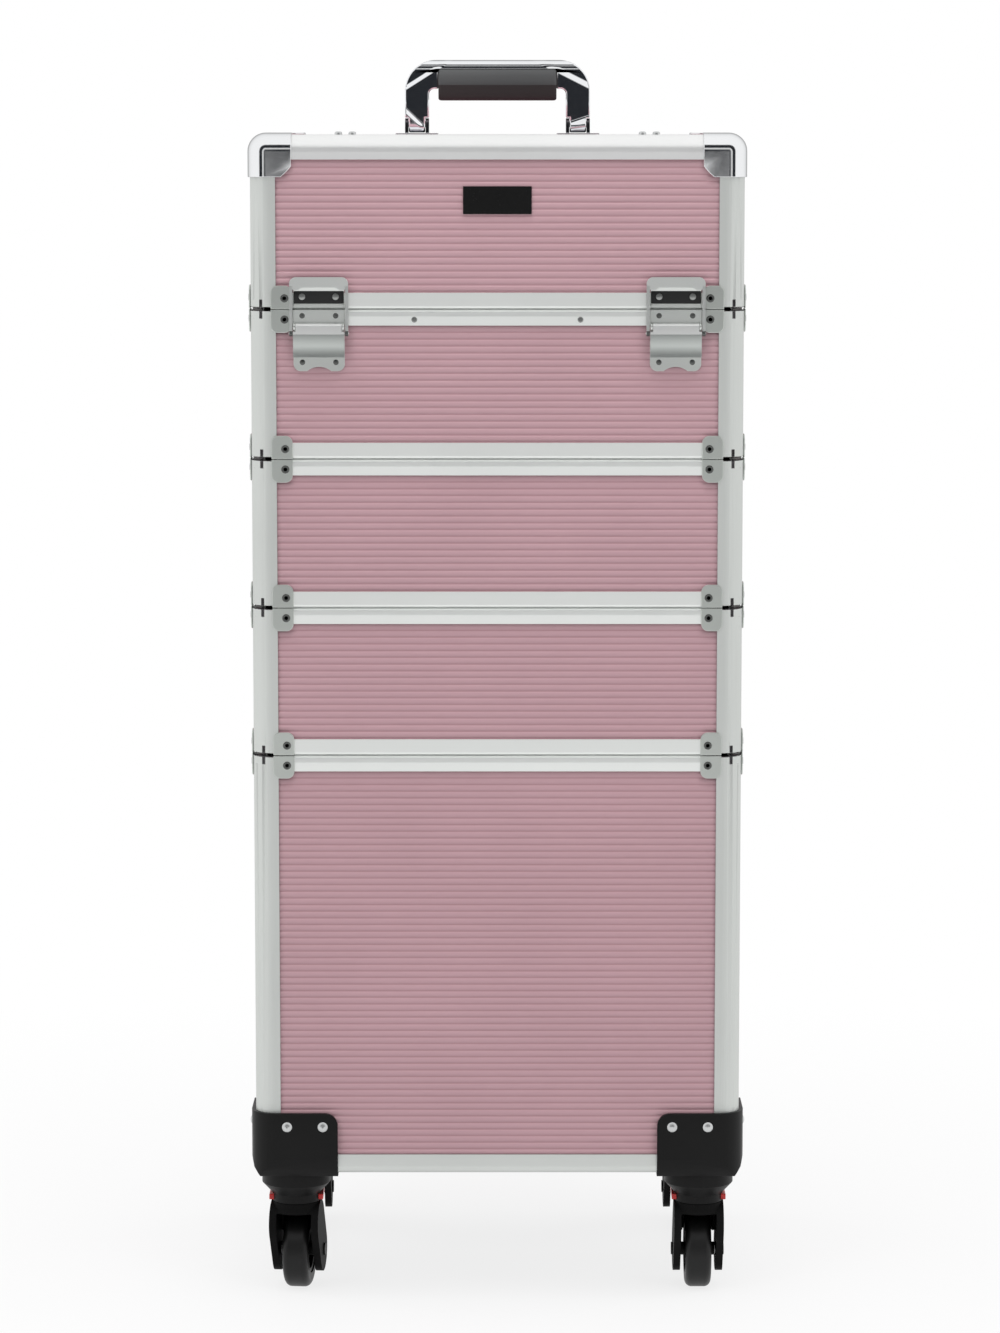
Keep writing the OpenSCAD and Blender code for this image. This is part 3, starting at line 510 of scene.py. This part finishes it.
def slab(outline, z0, z1, kind):
    """Flat board or key with an outline in plan."""
    verts = [Vector((x, y, z)) for z in (z0, z1) for x, y in outline]
    faces = tube_faces(2, len(outline))
    return verts, faces, [kind] * len(faces)


def plain(edge):
    x, y = CASE_W / 2 - edge, CASE_D / 2 - edge
    return [(-x, -y), (x, -y), (x, y), (-x, y)]


def notched(edge, notch):
    """Plan of a floor board with its corners cut out for the posts."""
    x, y = CASE_W / 2 - edge, CASE_D / 2 - edge
    a, b = CASE_W / 2 - notch, CASE_D / 2 - notch
    return [(-a, -y), (a, -y), (a, -b), (x, -b), (x, b), (a, b),
            (a, y), (-a, y), (-a, b), (-x, b), (-x, -b), (-a, -b)]


def boards(tier, sheets):
    piece = joined(tier + "_ribbed_boards", sheets, BOARD_MATS, tier)
    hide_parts(tier + "_boards")


for tier in ("box1", "box2", "box3"):
    floor_z = SEAMS[tier] + FLOOR_UP
    tier_floor = slab(notched(FLOOR_INSET, POST_REACH), floor_z, floor_z + BOARD, LINED)
    boards(tier, wall_sheets(SEAMS[tier] + WALL_END, SEAM_ABOVE[tier] - WALL_END) + [tier_floor])

bin_floor = slab(plain(BASE_INSET), BASE_Z + RECESS, BASE_Z + RECESS + BOARD, LINED)
boards("bin", wall_sheets(BASE_Z + BASE_INSET, SEAM_ABOVE["bin"] - WALL_END) + [bin_floor])

lid_top = board_mesh(CASE_W / 2 - TOP_INSET, ribbed(2 * TOP_HALF_D), top_place)
boards("lid", wall_sheets(LID_SEAM + WALL_END, TOP - TOP_INSET) + [lid_top])


# Posts and rails keep their drawn shapes and take a satin finish, the posts' inner faces take painted shade,
# and keys close the posts' side slits

FACE_GAP = 0.05 * MM
ROUND_GAP = 0.2 * MM
KEY_DEPTH = 1.3 * MM
KEY_STEPS = 4
BASE_RAIL_TOP = 150.0 * MM


def paint(name, mat):
    obj = nodes[name]
    obj.data.materials.clear()
    obj.data.materials.append(mat)


def behind_face(p):
    """True off the outer faces of a corner post, where the frame takes painted shade."""
    u, v = CASE_W / 2 - abs(p.x), CASE_D / 2 - abs(p.y)
    if min(u, v) < FACE_GAP:
        return False
    return not (max(u, v) < POST_R and abs(math.hypot(POST_R - u, POST_R - v) - POST_R) < ROUND_GAP)


def corner_keys(tier, ends):
    """Keys that close the side slits of a tier's corner posts, flush with their round, from each height."""
    across = [SLIT_NEAR + (SLIT_FAR - SLIT_NEAR) * k / KEY_STEPS for k in range(KEY_STEPS + 1)]
    rim = [(POST_R - math.sqrt(POST_R ** 2 - (POST_R - v) ** 2), v) for v in across]
    outline = rim + [(u + KEY_DEPTH, v) for u, v in reversed(rim)]
    sheets = []
    for sx in (-1, 1):
        for sy in (-1, 1):
            plan = [(sx * (CASE_W / 2 - u), sy * (CASE_D / 2 - v)) for u, v in outline]
            sheets += [slab(plan, z, z + SLIT_H, 0) for z in ends]
    joined(tier + "_corner_keys", sheets, [POST], tier)


for tier in TIERS:
    # Inner faces of the posts take the dark grey, a painted shade
    dressed(tier + "_posts", POST, 0.0, POST_INSIDE_SHADE, behind_face)
    key_ends = []
    if tier in SEAMS:
        key_ends.append(SEAMS[tier] + POST_END)
    if tier in SEAM_ABOVE:
        key_ends.append(SEAM_ABOVE[tier] - POST_END - SLIT_H)
    corner_keys(tier, key_ends)
    if tier.startswith("box"):
        paint(tier + "_rails", RAIL)
dressed("bin_rails", RAIL, 0.0, BASE_RAIL, lambda p: p.z < BASE_RAIL_TOP)
# The lid's top rails take the lighter aluminium, a painted highlight
paint("lid_top_rails", PAINTED_HIGHLIGHT_TOP_RAIL)
paint("lid_rim_rails", RAIL)


# Closing lips in the seams, seam clips, corner caps and badge

# Section of a lip in millimetres: depth behind the face, height from the seam
LIP_SECTION = [(5.0, -0.16), (1.3, -0.16), (1.15, -0.08), (1.15, 0.08), (1.3, 0.16), (5.0, 0.16)]
CAP_GAP = 0.03 * MM
CAP_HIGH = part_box("lid_corner_caps")[1]


def seam_lip(body, z):
    """Closing lip of a tier's upper rim: a thin level strip in the seam on each side, eased at its edge."""
    sheets = []
    for out, half_w, turn in case_sides():
        reach = half_w - POST_REACH
        verts = [turn @ Vector((u, -out + depth * MM, z + up * MM))
                 for u in (-reach, reach) for depth, up in LIP_SECTION]
        faces = tube_faces(2, len(LIP_SECTION))
        sheets.append((verts, faces, [0] * len(faces)))
    joined(body + "_seam_lip", sheets, [RAIL], body)


def on_cap_face(p):
    """True on the flat front, side and top faces of the corner caps."""
    outs = (abs(p.x) - CAP_HIGH.x, abs(p.y) - CAP_HIGH.y, p.z - CAP_HIGH.z)
    return any(abs(out) < CAP_GAP for out in outs)


for tier in SEAM_ABOVE:
    seam_lip(tier, SEAM_ABOVE[tier])
for tier in TIERS:
    dressed(tier + "_clips", CLIP, 0.5)
dressed("lid_corner_caps", CAP_EDGE, 0.4, CAP, on_cap_face)
dressed("badge_plate", BADGE, 0.35)


# Latches and hinges

PIN_END = LID_SEAM - 13.5 * MM
BARREL_END = LID_SEAM - 17.0 * MM
TONGUE_TOP = LID_SEAM - 20.0 * MM
TONGUE_STRETCH = 1.28


def on_bail_pin(p):
    return p.z < PIN_END


def on_barrel(p):
    return p.z > BARREL_END


def longer_tongue(z):
    """The tongue of a lever reaches almost to the rivets of its base."""
    return z if z > TONGUE_TOP else TONGUE_TOP - TONGUE_STRETCH * (TONGUE_TOP - z)


for name in ("front_latch_bases", "front_latch_keepers"):
    dressed(name, STEEL, 0.3)
for side in ("left", "right"):
    dressed("latch_bail_" + side, BAIL, 0.3, RIVET, on_bail_pin)
    # Each lever's barrel takes the lighter nickel, a painted highlight
    dressed("latch_lever_" + side, LEVER, 0.3, PAINTED_BARREL_HIGHLIGHT, on_barrel, BARREL_END, longer_tongue)
for name in ("bin_latch_bases", "box3_latch_plates", "box2_latch_plates", "box1_latch_keepers",
             "hinge_leaves_upper", "hinge_leaves_lower", "hinge_pins",
             "bin_hasp_left", "bin_hasp_right", "box3_hasp_left", "box3_hasp_right",
             "box2_hasp_left", "box2_hasp_right"):
    dressed(name, STEEL, 0.2)


# Handle

EAR_UP = 1.2 * MM
GRIP_RAISE = 1.2 * MM

# Half of the grip's section as shares of its half sizes, from the top round to the bottom
GRIP_HALF = [(0.00, 1.00), (0.42, 0.99), (0.58, 0.93), (0.70, 0.80), (0.82, 0.56), (0.93, 0.26),
             (0.985, 0.06), (0.995, -0.04), (0.985, -0.16), (0.965, -0.45), (0.945, -0.72),
             (0.90, -0.86), (0.80, -0.95), (0.66, -0.99), (0.00, -1.00)]

# Eased ends of the grip: millimetres from the end, share of the section
GRIP_ENDS = [(0.0, 0.90), (0.3, 0.945), (0.8, 0.975), (1.6, 0.994), (2.5, 1.0)]


def make_grip():
    low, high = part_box("handle_grip")
    high.z += GRIP_RAISE
    middle = (low + high) / 2
    length = high.x - low.x
    ry = (high.y - low.y) / 2
    rz = (high.z - low.z) / 2
    section = GRIP_HALF + [(-y, z) for y, z in reversed(GRIP_HALF[1:-1])]
    rings = [(d * MM, k) for d, k in GRIP_ENDS] + [(length - d * MM, k) for d, k in reversed(GRIP_ENDS)]
    verts = []
    for along, ease in rings:
        for y, z in section:
            verts.append((low.x + along, middle.y + y * ry * ease, middle.z + z * rz * ease))
    mesh = mesh_of("grip_moulded", verts, tube_faces(len(rings), len(section)))
    obj = make_object("grip_moulded", mesh, [GRIP, GRIP_SHADED_UNDERSIDE], "handle")
    for face in mesh.polygons:
        # The lower half of the grip takes the darker black, a painted shade
        face.material_index = 1 if face.center.z < middle.z else 0
    face_outwards(mesh)
    smooth(obj, degrees=32)
    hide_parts("handle_grip")


dressed("handle_bail", BAIL_CHROME, 0.9)
dressed("handle_mounts", CHROME, 0.5, MOUNT, lambda p: p.z > TOP + EAR_UP)
make_grip()


# Casters

HUB_R = 17.05 * MM
AXLE_R = 4.8 * MM
AXLE_END = 17.55 * MM
NUT_PLACE = 12.6 * MM
AXLE_NUT = [(4.6, 0.0), (4.6, 2.9), (4.2, 3.15), (3.0, 3.2), (0.3, 3.2)]

# Hood of a fork in millimetres and degrees: radii, half widths, and the sweep over the top to the back
HOOD_OUTER, HOOD_INNER = 29.2, 27.9
HOOD_HALF_W, HOOD_HALF_GAP = 12.45, 10.7
HOOD_START, HOOD_SWEEP, HOOD_STEPS = -10, 84, 24
CHEEK_R, CHEEK_RISE, CHEEK_FLAT = 14.0, 12.5, 0.55


def joint_named(name):
    return next(joint for joint in frame["joints"] if joint["name"] == name)


def wheel_hood(corner, hub, axis):
    """Thin curved hood of a fork, close over the top and back of its wheel, with a cheek down each side."""
    swivel = Vector(joint_named("swivel_" + corner)["pos_m"])
    back = Vector((hub.x - swivel.x, hub.y - swivel.y, 0)).normalized()
    w, gap = HOOD_HALF_W, HOOD_HALF_GAP
    verts = []
    for k in range(HOOD_STEPS + 1):
        along = k / HOOD_STEPS
        a = math.radians(HOOD_START + HOOD_SWEEP * along)
        low = CHEEK_R + CHEEK_RISE * max(0.0, (along - CHEEK_FLAT) / (1 - CHEEK_FLAT)) ** 2
        out = back * math.sin(a) + UP * math.cos(a)
        section = [(low, -w), (HOOD_OUTER, -w), (HOOD_OUTER, w), (low, w),
                   (low, gap), (HOOD_INNER, gap), (HOOD_INNER, -gap), (low, -gap)]
        verts += [hub + out * radius * MM + axis * across * MM for radius, across in section]
    faces = tube_faces(HOOD_STEPS + 1, len(section))
    body = nodes["fork_" + corner]["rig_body"]
    hood = joined("hood_" + corner, [(verts, faces, [0] * len(faces))], [FORK], body)
    ease_edges(hood, 0.4, 2)


def dress_caster(corner):
    """Fork, wheel, release clip, hood and axle nuts of one caster."""
    roll = joint_named("roll_" + corner)
    hub = Vector(roll["pos_m"])
    axis = Vector(roll["axis"]).normalized()

    def off_axis(p):
        d = p - hub
        return (d - axis * d.dot(axis)).length

    def on_axle(p):
        return off_axis(p) < AXLE_R and abs((p - hub).dot(axis)) > AXLE_END

    def in_hub(p):
        return off_axis(p) < HUB_R

    dressed("fork_" + corner, FORK, 0.8, HUB, on_axle)
    dressed("wheel_" + corner, TYRE, 0.4, HUB, in_hub)
    dressed("release_" + corner, RED, 0.5)
    wheel_hood(corner, hub, axis)
    nuts = [(hub + axis * s * NUT_PLACE, -axis * s) for s in (-1, 1)]
    turned_group("axle_nuts_" + corner, nuts, AXLE_NUT, BRIGHT_RIVET, nodes["fork_" + corner]["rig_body"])


dressed("caster_housings", BLACK, 0.8)
dressed("housing_rivets", BRIGHT_RIVET, 0.0)
for corner in ("front_left", "front_right", "rear_left", "rear_right"):
    dress_caster(corner)


# Rivets of the seam clips

EYELET = [(2.8, 0.0), (2.8, 0.3), (2.4, 0.6), (1.9, 0.6), (1.4, 0.2), (1.1, -0.2), (0.3, -0.2)]
CLIP_X = 24.0 * MM
CLIP_OUT = 1.25 * MM
CLIP_RIVET_GAP = 7.0 * MM
LID_RIVET_GAP = 7.5 * MM


def clip_rivets(body, heights):
    places = []
    for out, half_w, turn in case_sides():
        for s in (-1, 1):
            for z in heights:
                places.append((turn @ Vector((s * (half_w - CLIP_X), -out - CLIP_OUT, z)), turn @ FORWARD))
    turned_group(body + "_clip_rivets", places, EYELET, RIVET, body)


for tier in reversed(TIERS):
    heights = []
    if tier in SEAM_ABOVE:
        heights.append(SEAM_ABOVE[tier] - CLIP_RIVET_GAP)
    if tier in SEAMS:
        heights.append(SEAMS[tier] + (LID_RIVET_GAP if tier == "lid" else CLIP_RIVET_GAP))
    clip_rivets(tier, heights)


# Rivets of the front latches, and black sheets in their windows as painted shade

SMALL_DOME = [(1.9, 0.0), (1.9, 0.12), (1.6, 0.45), (1.0, 0.65), (0.3, 0.7)]
KEEPER_DOME = [(2.3, 0.0), (2.2, 0.3), (1.6, 0.5), (0.3, 0.55)]
LATCH_RIVET_X = 11.5 * MM

# Rivets of a latch: how far their face stands out of the front, and their height from the lid's seam
BASE_UPPER_OUT, BASE_UPPER_Z = 1.25 * MM, -4.4 * MM
BASE_LOWER_OUT, BASE_LOWER_Z = -0.5 * MM, -36.4 * MM
KEEPER_OUT, KEEPER_Z = 1.4 * MM, 8.6 * MM

WINDOW_W, WINDOW_H = 34.4 * MM, 9.6 * MM
WINDOW_R, WINDOW_THICK = 0.8 * MM, 0.16 * MM
WINDOW_OUT, WINDOW_Z = 1.24 * MM, 7.7 * MM
WINDOW_STEPS = 6


def two_pairs(x, offset, y, z, normal):
    """A pair of places to the left and a pair to the right, each an offset away from x."""
    return [(Vector((s * x + e * offset, y, z)), normal) for s in (-1, 1) for e in (-1, 1)]


def latch_places(out, z):
    return two_pairs(LATCH_X, LATCH_RIVET_X, FRONT - out, LID_SEAM + z, FORWARD)


def shade_sheet(name, x):
    """Thin black sheet facing the front with round corners and an eased rim, put in a latch's window as
    painted shade.
    """
    cx, cz = WINDOW_W / 2 - WINDOW_R, WINDOW_H / 2 - WINDOW_R
    outline = []
    for turns, (sx, sz) in enumerate(((1, 1), (-1, 1), (-1, -1), (1, -1))):
        for k in range(WINDOW_STEPS + 1):
            a = math.radians(90 * (turns + k / WINDOW_STEPS))
            outline.append((sx * cx + WINDOW_R * math.cos(a), sz * cz + WINDOW_R * math.sin(a)))
    rings = [(1.0, 0.0), (1.0, 0.6 * WINDOW_THICK), (0.97, WINDOW_THICK)]
    verts = []
    for size, out in rings:
        y = FRONT - WINDOW_OUT - out
        verts += [(x + u * size, y, LID_SEAM + WINDOW_Z + v * size) for u, v in outline]
    mesh = mesh_of(name, verts, tube_faces(len(rings), len(outline)))
    obj = make_object(name, mesh, [PAINTED_SHADE_PLATE], "lid")
    face_outwards(mesh)
    smooth(obj, degrees=40)


base_places = latch_places(BASE_UPPER_OUT, BASE_UPPER_Z) + latch_places(BASE_LOWER_OUT, BASE_LOWER_Z)
turned_group("latch_base_rivets", base_places, SMALL_DOME, RIVET, "box1")
turned_group("latch_keeper_rivets", latch_places(KEEPER_OUT, KEEPER_Z), KEEPER_DOME, KEEPER_RIVET, "lid")
# A black sheet of painted shade in each latch's window
for s, side in ((-1, "left"), (1, "right")):
    shade_sheet("latch_shade_sheet_" + side, s * LATCH_X)


# Small fasteners on the rails

SCREW = [(2.0, 0.0), (2.0, 0.25), (1.7, 0.5), (1.2, 0.5), (0.9, 0.1), (0.3, 0.1)]
SCREW_X, SCREW_Z = 57.0 * MM, -7.2 * MM
TOP_DOME = [(2.6, 0.0), (2.6, 0.9), (2.3, 1.6), (1.5, 2.0), (0.3, 2.1)]
TOP_RIVET_X, TOP_RIVET_OFFSET, TOP_RIVET_IN = 104.25 * MM, 4.75 * MM, 14.0 * MM

screw_places = [(Vector((s * SCREW_X, FRONT, LID_SEAM + SCREW_Z)), FORWARD) for s in (-1, 1)]
turned_group("rail_screws", screw_places, SCREW, KEEPER_RIVET, "box1")
top_places = two_pairs(TOP_RIVET_X, TOP_RIVET_OFFSET, FRONT + TOP_RIVET_IN, TOP, UP)
turned_group("lid_top_rivets", top_places, TOP_DOME, BRIGHT_RIVET, "lid")


# Rivets of the hinges

HINGE_X, HINGE_RIVET_X = 95.0 * MM, 17.0 * MM
HINGE_OUT, HINGE_RIVET_Z = 1.35 * MM, 6.6 * MM

for name, body, sign in (("hinge_rivets_upper", "lid", 1), ("hinge_rivets_lower", "box1", -1)):
    hinge_z = LID_SEAM + sign * HINGE_RIVET_Z
    places = two_pairs(HINGE_X, HINGE_RIVET_X, BACK + HINGE_OUT, hinge_z, BACKWARD)
    turned_group(name, places, SMALL_DOME, RIVET, body)


# Floor and world

FLOOR_HALF = 6.0
FLOOR_COLOUR = (0.66, 0.66, 0.66, 1)
FADE_NEAR, FADE_FAR = 0.2, 1.0
GLOW_NEAR, GLOW_FAR = 0.80, 1.0
WORLD_COLOUR = (0.40, 0.40, 0.41, 1)
DARK_COLOUR = (0.02, 0.022, 0.026, 1)
WHITE = (1, 1, 1, 1)

# Edges of the unlit parts of the studio, as y and z of the ray's direction
DARK_FRONT_Y = (-0.985, -0.945)
DARK_FRONT_Z = (-0.14, -0.05)
DARK_RING_START_Y = (-0.945, -0.925)
DARK_RING_END_Y = (-0.78, -0.74)


def background_ray(tree):
    """1 where a ray shows the background: straight to the camera, or by gloss or glass."""
    path = node(tree, "ShaderNodeLightPath").outputs
    seen = math_node(tree, "MAXIMUM", path["Is Camera Ray"], path["Is Glossy Ray"])
    return math_node(tree, "MAXIMUM", seen, path["Is Transmission Ray"])


def floor_material():
    """Matt floor that looks white, apart from a share of its own shade near the case."""
    mat, tree, bsdf = new_material("pale_floor")
    bsdf.inputs["Base Color"].default_value = FLOOR_COLOUR
    bsdf.inputs["Roughness"].default_value = 0.9
    bsdf.inputs["Specular IOR Level"].default_value = 0.0
    glow = node(tree, "ShaderNodeEmission", Color=WHITE, Strength=1.0)
    reach = node(tree, "ShaderNodeVectorMath", operation="LENGTH")
    tree.links.new(coordinates(tree), reach.inputs[0])
    fade = map_range(tree, reach.outputs["Value"], (FADE_NEAR, FADE_FAR), (GLOW_NEAR, GLOW_FAR))
    share = math_node(tree, "MULTIPLY", background_ray(tree), fade)
    shader = mixed(tree, share, bsdf.outputs["BSDF"], glow.outputs["Emission"])
    tree.links.new(shader, tree.nodes["Material Output"].inputs["Surface"])
    return mat


def make_floor():
    r = FLOOR_HALF
    mesh = mesh_of("studio_floor", [(-r, -r, 0), (r, -r, 0), (r, r, 0), (-r, r, 0)], [(0, 1, 2, 3)])
    floor = bpy.data.objects.new("studio_floor", mesh)
    scene.collection.objects.link(floor)
    mesh.materials.append(floor_material())


def unlit_share(tree):
    """1 in the unlit parts that only bright metal shows: before the front, and in a ring round that."""
    ray = axes(tree, "Generated")
    front = math_node(tree, "MULTIPLY", map_range(tree, ray["Y"], DARK_FRONT_Y, (1, 0)),
                      map_range(tree, ray["Z"], DARK_FRONT_Z, (0, 1)))
    ring = math_node(tree, "MULTIPLY", map_range(tree, ray["Y"], DARK_RING_START_Y, (0, 1)),
                     map_range(tree, ray["Y"], DARK_RING_END_Y, (1, 0)))
    glossy = node(tree, "ShaderNodeLightPath").outputs["Is Glossy Ray"]
    return math_node(tree, "MULTIPLY", math_node(tree, "MAXIMUM", front, ring), glossy)


def make_world():
    """Grey light all round, with a white background and unlit parts for the bright metal."""
    world = bpy.data.worlds.new("studio")
    scene.world = world
    world.use_nodes = True
    tree = world.node_tree
    grey = tree.nodes["Background"]
    grey.inputs["Color"].default_value = WORLD_COLOUR
    grey.inputs["Strength"].default_value = 1.0
    white = node(tree, "ShaderNodeBackground", Color=WHITE, Strength=1.0)
    dark = node(tree, "ShaderNodeBackground", Color=DARK_COLOUR, Strength=1.0)
    studio = mixed(tree, background_ray(tree), grey.outputs["Background"], white.outputs["Background"])
    shader = mixed(tree, unlit_share(tree), studio, dark.outputs["Background"])
    tree.links.new(shader, tree.nodes["World Output"].inputs["Surface"])


make_floor()
make_world()


# Lamps and camera

# Name, place, target, size and power of each lamp
LAMPS = [("overhead", (0, -0.8, 2.8), (0, 0, 0.5), (2.4, 2.0), 58),
         ("front_left", (-1.7, -2.3, 1.9), (0, 0, 0.7), (1.2, 1.4), 12.5),
         ("front_right", (1.7, -2.3, 1.8), (0, 0, 0.7), (1.2, 1.4), 10.5),
         ("left_fill", (-2.8, 0.5, 1.6), (0, 0, 0.5), (1.4, 1.4), 22),
         ("right_fill", (2.8, 0.5, 1.6), (0, 0, 0.5), (1.4, 1.4), 22),
         ("rear_fill", (0, 2.9, 1.7), (0, 0, 0.5), (1.8, 1.4), 34)]
CAMERA_PLACE = (0.0018, -3.12, 0.8165)
CAMERA_TARGET = (0.0018, -0.12, 0.4502)
SENSOR_MM, LENS_MM = 36.0, 157.1


def aimed(name, data, place, target):
    obj = bpy.data.objects.new(name, data)
    scene.collection.objects.link(obj)
    obj.location = place
    obj.rotation_euler = (Vector(target) - Vector(place)).to_track_quat("-Z", "Y").to_euler()
    return obj


def make_lamp(name, place, target, size, power):
    lamp = bpy.data.lights.new(name, "AREA")
    lamp.shape = "RECTANGLE"
    lamp.size, lamp.size_y = size
    lamp.energy = power
    aimed(name, lamp, place, target).visible_glossy = False


def make_camera():
    camera = bpy.data.cameras.new("camera")
    camera.sensor_fit = "HORIZONTAL"
    camera.sensor_width = SENSOR_MM
    camera.lens = LENS_MM
    scene.camera = aimed("camera", camera, CAMERA_PLACE, CAMERA_TARGET)


for lamp in LAMPS:
    make_lamp(*lamp)
make_camera()
scene.view_settings.view_transform = "Standard"
